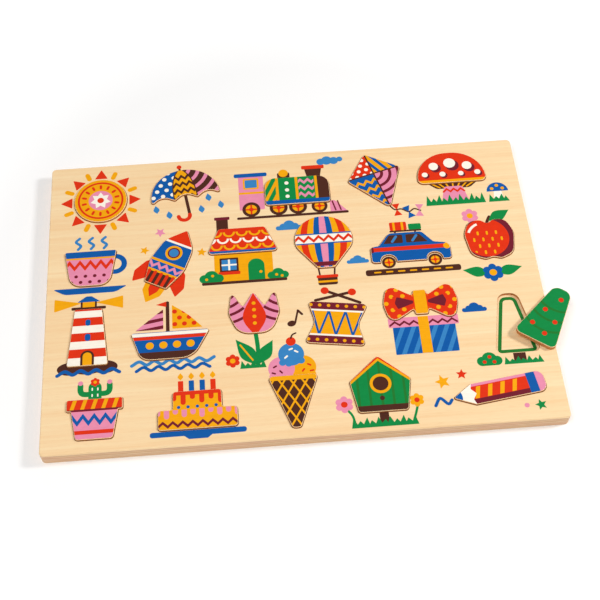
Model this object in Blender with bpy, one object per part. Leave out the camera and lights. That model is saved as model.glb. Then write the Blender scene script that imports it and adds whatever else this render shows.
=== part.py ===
"""Wooden inset puzzle: a laminated board with twenty-two fretted recesses and their lift-out pieces.

The board is a plain base sheet with a fretted frame sheet glued on top of it. Each recess is cut to the
outline of its piece with a running clearance, and each piece is thicker than the recess is deep, so that
it stands proud and can be lifted by its edge. One piece, the tree, lies loose beside its empty recess.
The origin is the middle of the underside, with +X along the board, +Y away from the player and +Z up.
"""

import math
from dataclasses import dataclass

import bmesh
import bpy
from mathutils import Matrix, Vector

# Board
BOARD_LENGTH = 0.450
BOARD_WIDTH = 0.305
BASE_THICKNESS = 0.0108
FRAME_THICKNESS = 0.0032
BOARD_CORNER_RADIUS = 0.0040
BOARD_EDGE_EASE = 0.0008

# Pieces and how they fit
PIECE_THICKNESS = 0.0046
PIECE_EDGE_EASE = 0.0004
SIDE_CLEARANCE = 0.0006
FLOOR_GAP = 0.0003
CORNER = 0.0030
TIP = 0.0016
INNER_CORNER = 0.0018

# Layout: rows from the far edge to the near edge, filled from left to right
SIDE_MARGIN = 0.0130
ROW_PITCH_ALLOWANCE = 0.0065
LOOSE_INSET = 0.0012
LOOSE_SHIFT = 0.0030
LOOSE_TURN = math.radians(-36)

# Widths and heights of the pieces
SUN_DIAMETER = 0.0500
UMBRELLA_WIDTH = 0.0660
UMBRELLA_HEIGHT = 0.0350
ENGINE_WIDTH = 0.0620
ENGINE_HEIGHT = 0.0320
KITE_WIDTH = 0.0540
KITE_HEIGHT = 0.0680
MUSHROOM_WIDTH = 0.0660
MUSHROOM_HEIGHT = 0.0360
CUP_WIDTH = 0.0480
CUP_HEIGHT = 0.0380
ROCKET_WIDTH = 0.0350
ROCKET_HEIGHT = 0.0660
ROOF_WIDTH = 0.0660
ROOF_HEIGHT = 0.0280
BALLOON_WIDTH = 0.0540
BALLOON_HEIGHT = 0.0580
CAR_WIDTH = 0.0740
CAR_HEIGHT = 0.0320
WHEEL_ARCH_RADIUS = 0.0075
WHEEL_ARCH_HEIGHT = 0.0080
APPLE_WIDTH = 0.0470
APPLE_HEIGHT = 0.0440
TOWER_WIDTH = 0.0360
TOWER_HEIGHT = 0.0580
HULL_WIDTH = 0.0700
HULL_HEIGHT = 0.0280
TULIP_WIDTH = 0.0450
TULIP_HEIGHT = 0.0440
DRUM_WIDTH = 0.0540
DRUM_HEIGHT = 0.0430
BOW_WIDTH = 0.0670
BOW_HEIGHT = 0.0420
TREE_WIDTH = 0.0400
TREE_HEIGHT = 0.0605
POT_WIDTH = 0.0480
POT_HEIGHT = 0.0380
POT_RIM_HEIGHT = 0.0110
CAKE_WIDTH = 0.0680
CAKE_HEIGHT = 0.0360
CONE_WIDTH = 0.0440
CONE_HEIGHT = 0.0500
BIRDHOUSE_WIDTH = 0.0530
BIRDHOUSE_HEIGHT = 0.0540
PENCIL_LENGTH = 0.0820
PENCIL_HEIGHT = 0.0200

# An arc is split so finely that no chord leaves it by more than this
CHORD_ERROR = 0.00005


# Outlines are closed runs of corners (x, y, radius), anticlockwise, about the middle of the piece.


def symmetric(width, height, half):
    """Corners of a shape that is the same left and right. half runs up the right side, as shares of
    half the width and of the height, each with its radius; a corner at 0 lies on the middle line."""
    right = [(x * width / 2, (y - 0.5) * height, radius) for x, y, radius in half]
    left = [(-x, y, radius) for x, y, radius in reversed(right) if x > 0]
    return right + left


def sun_outline():
    radius = SUN_DIAMETER / 2
    return symmetric(SUN_DIAMETER, SUN_DIAMETER, [(1, 0, radius), (1, 1, radius)])


def umbrella_outline():
    """A dome whose lower edge hangs in three scallops between the ribs."""
    scallop = UMBRELLA_WIDTH / 6
    half = [
        (0, 0.22, scallop),
        (1 / 3, 0, TIP),
        (2 / 3, 0.22, scallop),
        (1, 0, TIP),
        (1, 1, UMBRELLA_WIDTH / 2),
    ]
    return symmetric(UMBRELLA_WIDTH, UMBRELLA_HEIGHT, half)


def engine_outline():
    """The boiler of a small steam engine, rounder on top than below."""
    return symmetric(ENGINE_WIDTH, ENGINE_HEIGHT, [(1, 0, CORNER), (1, 1, ENGINE_HEIGHT / 3)])


def kite_outline():
    return symmetric(KITE_WIDTH, KITE_HEIGHT, [(0, 0, CORNER), (1, 0.62, CORNER), (0, 1, CORNER)])


def mushroom_outline():
    half = [(1, 0, CORNER * 2), (1, 1, MUSHROOM_WIDTH / 2)]
    return symmetric(MUSHROOM_WIDTH, MUSHROOM_HEIGHT, half)


def cup_outline():
    half = [(0.74, 0, CUP_WIDTH / 4), (1, 1, INNER_CORNER)]
    return symmetric(CUP_WIDTH, CUP_HEIGHT, half)


def rocket_outline():
    """A hull that swells above its tail and closes to a nose."""
    half = [
        (0.62, 0, TIP),
        (1, 0.36, ROCKET_HEIGHT / 3),
        (0.82, 0.74, ROCKET_HEIGHT / 3),
        (0, 1, TIP),
    ]
    return symmetric(ROCKET_WIDTH, ROCKET_HEIGHT, half)


def roof_outline():
    return symmetric(ROOF_WIDTH, ROOF_HEIGHT, [(1, 0, CORNER), (0.66, 1, CORNER)])


def balloon_outline():
    half = [(0.28, 0, CORNER), (1, 0.44, BALLOON_WIDTH / 3), (1, 1, BALLOON_WIDTH / 2)]
    return symmetric(BALLOON_WIDTH, BALLOON_HEIGHT, half)


def car_outline():
    """A small car seen from the side, with round wheel arches, a bonnet and a boot."""
    half_length = CAR_WIDTH / 2
    bottom = -CAR_HEIGHT / 2
    waist = CAR_HEIGHT * 0.04
    top = CAR_HEIGHT / 2
    corners = [(-half_length, bottom, CORNER)]
    for middle in (-0.58 * half_length, 0.58 * half_length):
        rear = middle - WHEEL_ARCH_RADIUS
        front = middle + WHEEL_ARCH_RADIUS
        crown = bottom + WHEEL_ARCH_HEIGHT
        corners += [
            (rear, bottom, TIP / 2),
            (rear, crown, WHEEL_ARCH_RADIUS),
            (front, crown, WHEEL_ARCH_RADIUS),
            (front, bottom, TIP / 2),
        ]
    corners += [
        (half_length, bottom, CORNER),
        (half_length, waist, CORNER * 2),
        (half_length * 0.60, waist + CAR_HEIGHT * 0.08, CORNER),
        (half_length * 0.34, top, CORNER * 2),
        (-half_length * 0.50, top, CORNER * 2),
        (-half_length * 0.78, waist + CAR_HEIGHT * 0.04, CORNER),
        (-half_length, waist, CORNER),
    ]
    return corners


def apple_outline():
    """A round fruit, dented at the stalk and at the eye."""
    half = [
        (0, 0.05, CORNER * 2),
        (0.32, 0, APPLE_WIDTH / 8),
        (0.84, 0.12, APPLE_WIDTH / 4),
        (1, 0.66, APPLE_WIDTH / 3),
        (0.74, 1, APPLE_WIDTH / 5),
        (0.26, 1, APPLE_WIDTH / 8),
        (0, 0.90, CORNER),
    ]
    return symmetric(APPLE_WIDTH, APPLE_HEIGHT, half)


def tower_outline():
    return symmetric(TOWER_WIDTH, TOWER_HEIGHT, [(1, 0, INNER_CORNER), (0.68, 1, INNER_CORNER)])


def hull_outline():
    """A boat's hull, with an upright stern on the left and a raked bow on the right."""
    half_length = HULL_WIDTH / 2
    bottom = -HULL_HEIGHT / 2
    top = HULL_HEIGHT / 2
    return [
        (-half_length * 0.74, bottom, HULL_HEIGHT / 2.5),
        (half_length * 0.56, bottom, HULL_HEIGHT / 1.5),
        (half_length, top, TIP),
        (-half_length, top, TIP),
    ]


def tulip_outline():
    """Three pointed petals over a round cup."""
    half = [
        (0.66, 0, TULIP_WIDTH / 3),
        (1.02, 0.48, TULIP_WIDTH / 4),
        (0.88, 1, TIP),
        (0.44, 0.62, INNER_CORNER),
        (0, 0.98, TIP),
    ]
    return symmetric(TULIP_WIDTH, TULIP_HEIGHT, half)


def drum_outline():
    """A waisted drum, wide at both skins."""
    half = [(1, 0, CORNER), (0.70, 0.5, DRUM_HEIGHT / 3), (1, 1, CORNER)]
    return symmetric(DRUM_WIDTH, DRUM_HEIGHT, half)


def bow_outline():
    """Two loops of ribbon and the knot between them."""
    half = [
        (0.17, 0.20, INNER_CORNER),
        (0.19, 0.34, INNER_CORNER),
        (0.86, 0, BOW_HEIGHT / 6),
        (1.02, 0.5, BOW_HEIGHT / 2),
        (0.86, 1, BOW_HEIGHT / 6),
        (0.19, 0.66, INNER_CORNER),
        (0.17, 0.80, INNER_CORNER),
    ]
    return symmetric(BOW_WIDTH, BOW_HEIGHT, half)


def tree_outline():
    """A tapering crown with a round top and a flat foot."""
    half = [(1, 0, CORNER * 1.7), (0.42, 1, TREE_WIDTH / 5)]
    return symmetric(TREE_WIDTH, TREE_HEIGHT, half)


def pot_outline():
    """A tapered flower pot under a wider rim."""
    rim = 1 - POT_RIM_HEIGHT / POT_HEIGHT
    half = [(0.66, 0, CORNER), (0.84, rim, TIP / 2), (1, rim, TIP), (1, 1, TIP)]
    return symmetric(POT_WIDTH, POT_HEIGHT, half)


def cake_outline():
    """A cake of two round tiers, seen from the side."""
    half = [
        (1, 0, CORNER),
        (1, 0.52, CORNER),
        (0.62, 0.52, INNER_CORNER),
        (0.62, 1, CORNER),
    ]
    return symmetric(CAKE_WIDTH, CAKE_HEIGHT, half)


def cone_outline():
    return symmetric(CONE_WIDTH, CONE_HEIGHT, [(0.16, 0, CORNER), (1, 1, CORNER)])


def birdhouse_outline():
    half = [(0.80, 0, CORNER), (1, 0.56, CORNER), (0, 1, CORNER)]
    return symmetric(BIRDHOUSE_WIDTH, BIRDHOUSE_HEIGHT, half)


def pencil_outline():
    """A thick pencil, round at its cap on the right and pointed at its tip."""
    half_length = PENCIL_LENGTH / 2
    half_height = PENCIL_HEIGHT / 2
    shoulder = PENCIL_HEIGHT * 0.9 - half_length
    return [
        (-half_length, 0, TIP),
        (shoulder, -half_height, TIP),
        (half_length, -half_height, PENCIL_HEIGHT / 3),
        (half_length, half_height, PENCIL_HEIGHT / 3),
        (shoulder, half_height, TIP),
    ]


@dataclass
class Motif:
    """One puzzle piece: its outline, how it is turned, how far its middle lies above the row's line,
    and the room that its printed surround needs on the board to its left and right."""

    name: str
    outline: callable
    colour: tuple
    rise: float = 0.0
    turn: float = 0.0
    room_left: float = 0.003
    room_right: float = 0.003


RED = (0.78, 0.045, 0.015)
GREEN = (0.0, 0.25, 0.065)
BLUE = (0.0, 0.095, 0.39)
YELLOW = (0.94, 0.40, 0.005)
PINK = (0.86, 0.27, 0.48)
BROWN = (0.10, 0.02, 0.012)
WOOD = (0.90, 0.69, 0.40)
PLY = (0.56, 0.36, 0.20)

ROWS = (
    (
        Motif("sun", sun_outline, YELLOW, room_left=0.010, room_right=0.010),
        Motif("umbrella", umbrella_outline, BLUE, rise=0.013, turn=math.radians(9)),
        Motif("engine", engine_outline, GREEN, rise=-0.003, room_left=0.030, room_right=0.006),
        Motif("kite", kite_outline, PINK, rise=0.002, turn=math.radians(16)),
        Motif("mushroom", mushroom_outline, RED, rise=0.012, room_right=0.018),
    ),
    (
        Motif("cup", cup_outline, PINK, rise=-0.004, room_right=0.014),
        Motif("rocket", rocket_outline, BLUE, rise=0.002, turn=math.radians(-28)),
        Motif("roof", roof_outline, RED, rise=0.016, room_right=0.005),
        Motif("balloon", balloon_outline, YELLOW, rise=0.008),
        Motif("car", car_outline, BLUE, rise=-0.004),
        Motif("apple", apple_outline, RED, rise=-0.002),
    ),
    (
        Motif("lighthouse", tower_outline, RED, rise=-0.004, room_left=0.008, room_right=0.008),
        Motif("boat", hull_outline, BLUE, rise=-0.018),
        Motif("tulip", tulip_outline, PINK, rise=0.010, room_left=0.006, room_right=0.006),
        Motif("drum", drum_outline, YELLOW, rise=-0.008, turn=math.radians(-8), room_left=0.006),
        Motif("bow", bow_outline, RED, rise=0.008),
        Motif("tree", tree_outline, GREEN, rise=-0.0195, room_left=0.014, room_right=0.0015),
    ),
    (
        Motif("pot", pot_outline, PINK, rise=-0.012, room_left=0.009, room_right=0.009),
        Motif("cake", cake_outline, YELLOW, rise=-0.010, room_left=0.006, room_right=0.006),
        Motif("cone", cone_outline, BROWN, rise=-0.009, room_left=0.008, room_right=0.008),
        Motif("birdhouse", birdhouse_outline, GREEN, rise=0.002, room_left=0.005, room_right=0.005),
        Motif("pencil", pencil_outline, RED, rise=-0.012, turn=math.radians(8), room_left=0.016),
    ),
)


def rounded(corners):
    """The points of a closed outline, with an arc of the given radius at each corner. Two arcs that
    would meet on a short side are both made smaller, in step."""
    count = len(corners)
    at = [Vector((x, y)) for x, y, _ in corners]
    reach = []
    turns = []
    for i, (_, _, radius) in enumerate(corners):
        arriving = at[i] - at[i - 1]
        leaving = at[(i + 1) % count] - at[i]
        turn = math.atan2(arriving.cross(leaving), arriving.dot(leaving))
        turns.append(turn)
        reach.append(radius * math.tan(abs(turn) / 2))
    room = [
        min(1.0, (at[(i + 1) % count] - at[i]).length / (reach[i] + reach[(i + 1) % count]))
        for i in range(count)
    ]
    points = []
    for i, (_, _, radius) in enumerate(corners):
        share = min(room[i - 1], room[i])
        radius *= share
        turn = turns[i]
        back = (at[i - 1] - at[i]).normalized()
        start = at[i] + back * reach[i] * share
        inward = Vector((back.y, -back.x)) * math.copysign(radius, turn)
        centre = start + inward
        finest = 2 * math.acos(1 - min(1.0, CHORD_ERROR / radius))
        steps = max(2, math.ceil(abs(turn) / finest))
        for k in range(steps + 1):
            spoke = Matrix.Rotation(turn * k / steps, 2) @ (start - centre)
            points.append(centre + spoke)
    return without_doubles(points)


def without_doubles(points):
    """Drops each point that lies on the one before it, where two arcs meet."""
    return [p for i, p in enumerate(points) if (p - points[i - 1]).length > CHORD_ERROR]


def grown(points, distance):
    """The outline moved outwards by distance, each point along the middle of its corner."""
    moved = []
    for i, point in enumerate(points):
        arriving = (point - points[i - 1]).normalized()
        leaving = (points[(i + 1) % len(points)] - point).normalized()
        middle = (arriving + leaving).normalized()
        outward = Vector((middle.y, -middle.x))
        moved.append(point + outward * distance / middle.dot(arriving))
    return moved


def turned(points, angle):
    return [Matrix.Rotation(angle, 2) @ p for p in points]


def material(name, colour, roughness):
    finish = bpy.data.materials.new(name)
    finish.use_nodes = True
    shader = finish.node_tree.nodes["Principled BSDF"]
    shader.inputs["Base Color"].default_value = (*colour, 1.0)
    shader.inputs["Roughness"].default_value = roughness
    shader.inputs["Metallic"].default_value = 0.0
    return finish


def prism(bm, outline, low, high):
    """A closed prism over an outline, and the edges round its top."""
    foot = bm.faces.new([bm.verts.new((p.x, p.y, low)) for p in outline])
    made = bmesh.ops.extrude_face_region(bm, geom=[foot])
    top_verts = [v for v in made["geom"] if isinstance(v, bmesh.types.BMVert)]
    bmesh.ops.translate(bm, verts=top_verts, vec=(0, 0, high - low))
    bmesh.ops.recalc_face_normals(bm, faces=bm.faces)
    return [e for e in bm.edges if all(abs(v.co.z - high) < CHORD_ERROR for v in e.verts)]


def ease(bm, edges, amount):
    """Takes the sharpness off a rim."""
    bmesh.ops.bevel(
        bm, geom=edges, offset=amount, offset_type="OFFSET", segments=1, profile=0.5,
        affect="EDGES", clamp_overlap=True, material=-1,
    )


def to_object(name, bm, finish):
    mesh = bpy.data.meshes.new(name)
    bm.to_mesh(mesh)
    bm.free()
    body = bpy.data.objects.new(name, mesh)
    bpy.context.collection.objects.link(body)
    if finish:
        mesh.materials.append(finish)
    return body


def row_line(number):
    """The height of a row's line on the board, counted from the far row."""
    pitch = (BOARD_WIDTH - 2 * ROW_PITCH_ALLOWANCE) / len(ROWS)
    return ((len(ROWS) - 1) / 2 - number) * pitch


def place_rows():
    """The middle of each piece's recess. Every row shares out the length that its pieces and their
    printed surrounds leave free."""
    places = {}
    for number, row in enumerate(ROWS):
        reaches = []
        for motif in row:
            across = [p.x for p in turned(rounded(motif.outline()), motif.turn)]
            reaches.append((motif.room_left - min(across), motif.room_right + max(across)))
        taken = sum(left + right for left, right in reaches)
        gap = (BOARD_LENGTH - 2 * SIDE_MARGIN - taken) / (len(row) - 1)
        edge = SIDE_MARGIN - BOARD_LENGTH / 2
        for motif, (left, right) in zip(row, reaches):
            places[motif.name] = Vector((edge + left, row_line(number) + motif.rise))
            edge += left + right + gap
    return places


def board_outline():
    corner = BOARD_CORNER_RADIUS
    return rounded(symmetric(BOARD_LENGTH, BOARD_WIDTH, [(1, 0, corner), (1, 1, corner)]))


def base_sheet():
    """The plain lower sheet, which is the floor of every recess. Its lower rim is eased."""
    bm = bmesh.new()
    prism(bm, board_outline(), 0.0, BASE_THICKNESS)
    rim = [e for e in bm.edges if all(v.co.z < CHORD_ERROR for v in e.verts)]
    ease(bm, rim, BOARD_EDGE_EASE)
    return to_object("base_sheet", bm, material("birch_ply_base", PLY, 0.6))


def frame_sheet(places):
    """The fretted upper sheet, glued to the base, with one cut-out for each piece."""
    bm = bmesh.new()
    rim = prism(bm, board_outline(), BASE_THICKNESS, BASE_THICKNESS + FRAME_THICKNESS)
    ease(bm, rim, BOARD_EDGE_EASE)
    sheet = to_object("frame_sheet", bm, material("birch_ply_top", WOOD, 0.55))

    cutter = bmesh.new()
    for row in ROWS:
        for motif in row:
            outline = grown(turned(rounded(motif.outline()), motif.turn), SIDE_CLEARANCE)
            outline = [p + places[motif.name] for p in outline]
            prism(cutter, outline, BASE_THICKNESS / 2, BASE_THICKNESS + 2 * FRAME_THICKNESS)
    cutters = to_object("recess_cutters", cutter, None)
    cutters.hide_render = True
    cutters.display_type = "WIRE"

    cut = sheet.modifiers.new("recesses", "BOOLEAN")
    cut.operation = "DIFFERENCE"
    cut.solver = "EXACT"
    cut.object = cutters
    return sheet


def piece(motif, place, turn, low):
    """One fretted piece of plywood, with the top edge eased by sanding."""
    bm = bmesh.new()
    rim = prism(bm, rounded(motif.outline()), 0.0, PIECE_THICKNESS)
    ease(bm, rim, PIECE_EDGE_EASE)
    body = to_object(motif.name + "_piece", bm, material(motif.name + "_paint", motif.colour, 0.45))
    body.location = (place.x, place.y, low)
    body.rotation_euler = (0.0, 0.0, turn)
    return body


def main():
    for old in list(bpy.data.objects):
        bpy.data.objects.remove(old)

    places = place_rows()
    base_sheet()
    frame_sheet(places)
    seated = BASE_THICKNESS + FLOOR_GAP
    laid = BASE_THICKNESS + FRAME_THICKNESS + FLOOR_GAP
    for row in ROWS:
        for motif in row:
            if motif.name == "tree":
                spot = Vector((BOARD_LENGTH / 2 - LOOSE_INSET, places["tree"].y + LOOSE_SHIFT))
                piece(motif, spot, LOOSE_TURN, laid)
            else:
                piece(motif, places[motif.name], motif.turn, seated)


main()
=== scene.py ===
import math

import bmesh
import bpy
from mathutils import Matrix, Vector
from mathutils.geometry import delaunay_2d_cdt


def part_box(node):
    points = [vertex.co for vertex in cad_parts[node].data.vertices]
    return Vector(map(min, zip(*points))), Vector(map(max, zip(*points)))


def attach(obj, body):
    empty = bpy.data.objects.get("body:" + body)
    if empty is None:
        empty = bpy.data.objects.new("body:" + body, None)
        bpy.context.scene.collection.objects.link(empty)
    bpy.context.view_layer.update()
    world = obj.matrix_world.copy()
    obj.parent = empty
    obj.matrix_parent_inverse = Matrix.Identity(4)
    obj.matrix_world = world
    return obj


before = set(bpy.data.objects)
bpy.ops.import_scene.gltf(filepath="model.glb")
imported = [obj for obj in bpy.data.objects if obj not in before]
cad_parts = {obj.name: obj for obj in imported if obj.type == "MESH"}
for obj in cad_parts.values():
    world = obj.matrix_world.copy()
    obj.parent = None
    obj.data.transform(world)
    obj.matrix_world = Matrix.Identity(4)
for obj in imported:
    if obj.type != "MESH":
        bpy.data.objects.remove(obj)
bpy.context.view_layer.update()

# The board is two sheets of birch plywood glued face to face: a plain one below and a fretted one on top.
# It is rotary-cut veneer in crossed layers, sanded and lacquered clear, so the face shows long pale grain
# and the sawn edge shows the layers as bands.
MM = 0.001
# Widths are across the grain and lengths along it. These and the bump's depth are in millimetres.
GRAIN_WIDTH = 2.2
GRAIN_LENGTH = 90.0
FIGURE_WIDTH = 17.0
FIGURE_LENGTH = 270.0
PORE_WIDTH = 0.45
PORE_LENGTH = 9.0
THREAD_WIDTH = 0.6
THREAD_LENGTH = 14.0
BLUSH_WIDTH = 6.0
BLUSH_LENGTH = 24.0
BUMP_DEPTH = 0.1
SHEET_LAYERS = 9
# The brown of painted shade, multiplied into the cut edges to darken the recess walls and the pieces'
# sides. The board's outer rim, this deep, is left without it.
EDGE_SHADE_BROWN = "#e3b98c"
UNSHADED_RIM_DEPTH = 0.002


def linear(colour):
    """A hex sRGB colour as the linear RGBA that a shader takes."""
    shares = [int(colour[i:i + 2], 16) / 255 for i in (1, 3, 5)]
    return (*((c / 12.92 if c <= 0.04045 else ((c + 0.055) / 1.055) ** 2.4) for c in shares), 1.0)


def add(tree, kind, inputs=None, **settings):
    """Adds a node, sets it, and gives its inputs a value or links them to another node's output."""
    made = tree.nodes.new(kind)
    for name, value in settings.items():
        setattr(made, name, value)
    for name, value in (inputs or {}).items():
        if isinstance(value, bpy.types.NodeSocket):
            tree.links.new(value, made.inputs[name])
        else:
            made.inputs[name].default_value = value
    return made


def new_material(name):
    """An empty material with its tree and shader."""
    made = bpy.data.materials.new(name)
    made.use_nodes = True
    return made, made.node_tree, made.node_tree.nodes["Principled BSDF"]


def fibres(tree, across, along, detail=2.0, distortion=0.0):
    """Noise drawn out along X, as wood grain is: across and along are its size in millimetres."""
    place = add(tree, "ShaderNodeTexCoord")
    scale = add(tree, "ShaderNodeMapping", {
        "Vector": place.outputs["Object"],
        "Scale": (1 / (along * MM), 1 / (across * MM), 1 / (across * MM)),
    })
    return add(tree, "ShaderNodeTexNoise", {
        "Vector": scale.outputs["Vector"], "Scale": 1.0, "Detail": detail, "Distortion": distortion,
    }).outputs["Fac"]


def birch_plywood(name, layers, low, high, unshaded_from=None):
    """Birch plywood whose layers lie between low and high, in metres. Faces that look up or down show
    the veneer's grain, and cut edges show the layers, every other one end on and so darker. The cut
    edges are multiplied by a brown of painted shade, which darkens the recess walls and the pieces'
    sides. The outer rim, beyond the given half length and width, is left without it."""
    made, tree, shader = new_material(name)

    streaks = fibres(tree, GRAIN_WIDTH, GRAIN_LENGTH, 3.0, 0.4)
    figure = fibres(tree, FIGURE_WIDTH, FIGURE_LENGTH, 1.0, 1.2)
    pores = fibres(tree, PORE_WIDTH, PORE_LENGTH, 1.0)
    tone = add(tree, "ShaderNodeMath", {0: streaks, 1: figure}, operation="ADD").outputs[0]
    face = add(tree, "ShaderNodeValToRGB", {"Fac": add(
        tree, "ShaderNodeMapRange", {"Value": tone, "From Min": 0.7, "From Max": 1.3}).outputs[0]})
    face.color_ramp.elements[0].color = linear("#f8d19e")
    face.color_ramp.elements[1].color = linear("#fde0b1")
    flecks = add(tree, "ShaderNodeMapRange", {
        "Value": pores, "From Min": 0.30, "From Max": 0.42, "To Min": 0.16, "To Max": 0.0})
    veneer = add(tree, "ShaderNodeMix", {
        0: flecks.outputs[0], 6: face.outputs["Color"], 7: linear("#d9a566")}, data_type="RGBA")

    place = add(tree, "ShaderNodeTexCoord")
    height = add(tree, "ShaderNodeSeparateXYZ", {"Vector": place.outputs["Object"]}).outputs["Z"]
    depth = add(tree, "ShaderNodeMapRange", {"Value": height, "From Min": low, "From Max": high})
    bands = add(tree, "ShaderNodeValToRGB", {"Fac": depth.outputs[0]})
    bands.color_ramp.interpolation = "CONSTANT"
    tones = ("#f6d6ab", "#dfb286", "#f3cc9f", "#e5bb90")
    stops = bands.color_ramp.elements
    stops.remove(stops[-1])
    for number in range(layers):
        stop = stops[0] if number == 0 else stops.new(number / layers)
        stop.color = linear(tones[number % len(tones)])
    blotches = add(tree, "ShaderNodeMapRange", {
        "Value": fibres(tree, BLUSH_WIDTH, BLUSH_LENGTH, 1.0),
        "From Min": 0.40, "From Max": 0.60, "To Max": 0.45})
    blush = add(tree, "ShaderNodeMix", {
        0: blotches.outputs[0], 6: bands.outputs["Color"], 7: linear("#e9b393")}, data_type="RGBA")
    strands = add(tree, "ShaderNodeMapRange", {
        "Value": fibres(tree, THREAD_WIDTH, THREAD_LENGTH),
        "From Min": 0.40, "From Max": 0.65, "To Max": 0.45})
    threads = add(tree, "ShaderNodeMix", {
        0: strands.outputs[0], 6: blush.outputs[2], 7: linear("#c99f76")}, data_type="RGBA")
    # Where the painted shade goes: every cut edge of a piece, and on the board only the edges inside its
    # outer rim, which are the recess walls.
    edge_shade = 1.0
    if unshaded_from:
        mirror = add(tree, "ShaderNodeVectorMath", {0: place.outputs["Object"]}, operation="ABSOLUTE")
        past = add(tree, "ShaderNodeVectorMath", {
            0: mirror.outputs[0], 1: (*unshaded_from, 0.0)}, operation="SUBTRACT")
        sides = add(tree, "ShaderNodeSeparateXYZ", {"Vector": past.outputs[0]})
        further = add(tree, "ShaderNodeMath", {
            0: sides.outputs["X"], 1: sides.outputs["Y"]}, operation="MAXIMUM")
        edge_shade = add(tree, "ShaderNodeMath", {
            0: further.outputs[0], 1: 0.0}, operation="LESS_THAN").outputs[0]
    # The painted shade is multiplied into the cut edges' colour.
    edge = add(tree, "ShaderNodeMix", {
        0: edge_shade, 6: threads.outputs[2], 7: linear(EDGE_SHADE_BROWN)}, data_type="RGBA", blend_type="MULTIPLY")

    normal = add(tree, "ShaderNodeSeparateXYZ", {"Vector": place.outputs["Normal"]}).outputs["Z"]
    steep = add(tree, "ShaderNodeMath", {0: normal}, operation="ABSOLUTE").outputs[0]
    is_face = add(tree, "ShaderNodeMapRange", {"Value": steep, "From Min": 0.60, "From Max": 0.68})
    colour = add(tree, "ShaderNodeMix", {
        0: is_face.outputs[0], 6: edge.outputs[2], 7: veneer.outputs[2]}, data_type="RGBA")
    tree.links.new(colour.outputs[2], shader.inputs["Base Color"])

    rough = add(tree, "ShaderNodeMapRange", {
        "Value": streaks, "From Min": 0.3, "From Max": 0.7, "To Min": 0.46, "To Max": 0.58})
    tree.links.new(rough.outputs[0], shader.inputs["Roughness"])
    shader.inputs["Specular IOR Level"].default_value = 0.2
    bump = add(tree, "ShaderNodeBump", {"Height": pores, "Strength": 0.12, "Distance": BUMP_DEPTH * MM})
    tree.links.new(bump.outputs["Normal"], shader.inputs["Normal"])
    return made


def dress(node, finish):
    """Gives a carried-over CAD piece its finish."""
    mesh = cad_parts[node].data
    mesh.materials.clear()
    mesh.materials.append(finish)


board_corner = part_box("frame_sheet")[1]
BOARD_TOP = board_corner.z
RECESS_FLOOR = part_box("base_sheet")[1].z
sheet_birch = birch_plywood("birch_plywood_sheet", SHEET_LAYERS, 0.0, BOARD_TOP,
                            [half - UNSHADED_RIM_DEPTH for half in board_corner.xy])
dress("base_sheet", sheet_birch)
dress("frame_sheet", sheet_birch)

# The sun, in the far left corner: a round piece with its rays on the board. As every piece it is sawn
# from five-layer birch plywood, eased along its top edge, and screen printed in opaque satin inks that
# stop at the edge, so a thin rim of bare wood shows round it.
PIECE_LAYERS = 5
MOTTLE_WIDTH = 3.0
MOTTLE_LENGTH = 5.0
INK_DEPTH = 0.04
INK_SINK = 0.01
WELD = 0.001
TRIANGLES_INSIDE = 1


def screen_ink(name, colour):
    """Thick opaque ink, satin, with the wood's fibres faintly raised under it and a slight mottle where
    the mesh of the screen laid it down unevenly."""
    made, tree, shader = new_material(name)
    mottle = fibres(tree, MOTTLE_WIDTH, MOTTLE_LENGTH, 3.0)
    grain = fibres(tree, THREAD_WIDTH, THREAD_LENGTH)
    both = add(tree, "ShaderNodeMath", {0: mottle, 1: grain}, operation="ADD").outputs[0]
    value = add(tree, "ShaderNodeMapRange", {
        "Value": both, "From Min": 0.7, "From Max": 1.3, "To Min": 0.95, "To Max": 1.05})
    hue = add(tree, "ShaderNodeHueSaturation", {"Value": value.outputs[0], "Color": linear(colour)})
    tree.links.new(hue.outputs["Color"], shader.inputs["Base Color"])
    rough = add(tree, "ShaderNodeMapRange", {
        "Value": both, "From Min": 0.7, "From Max": 1.3, "To Min": 0.44, "To Max": 0.56})
    tree.links.new(rough.outputs[0], shader.inputs["Roughness"])
    shader.inputs["Specular IOR Level"].default_value = 0.15
    bump = add(tree, "ShaderNodeBump", {"Height": grain, "Strength": 0.10, "Distance": BUMP_DEPTH * MM})
    tree.links.new(bump.outputs["Normal"], shader.inputs["Normal"])
    return made


def flat_face_outlines(node, high):
    """The outlines of the holes in a CAD node's face at a height, and of the face itself, in
    millimetres. They come from a welded copy of its mesh."""
    top = bmesh.new()
    top.from_mesh(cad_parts[node].data)
    bmesh.ops.remove_doubles(top, verts=top.verts, dist=WELD * MM)
    others = [f for f in top.faces if any(abs(v.co.z - high) > WELD * MM for v in f.verts)]
    bmesh.ops.delete(top, geom=others, context="FACES")
    inner = [e for e in top.edges if not e.is_boundary]
    bmesh.ops.delete(top, geom=top.faces[:], context="FACES_ONLY")
    bmesh.ops.delete(top, geom=inner, context="EDGES")
    bmesh.ops.edgeloop_fill(top, edges=top.edges)
    return outlines_of(top, 1 / MM)


def outlines_of(shape, scale=1.0):
    """The outlines of a flat mesh's faces. The mesh is done with."""
    found = [[vert.co.xy * scale for vert in face.verts] for face in shape.faces]
    shape.free()
    return found


def middle_of(outline):
    """The middle of the box round an outline."""
    return Vector([(min(p[i] for p in outline) + max(p[i] for p in outline)) / 2 for i in (0, 1)])


def area_of(outline):
    """The area inside an outline, below zero where it runs clockwise."""
    return sum(a.cross(b) for a, b in zip(outline, outline[1:] + outline[:1])) / 2


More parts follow.
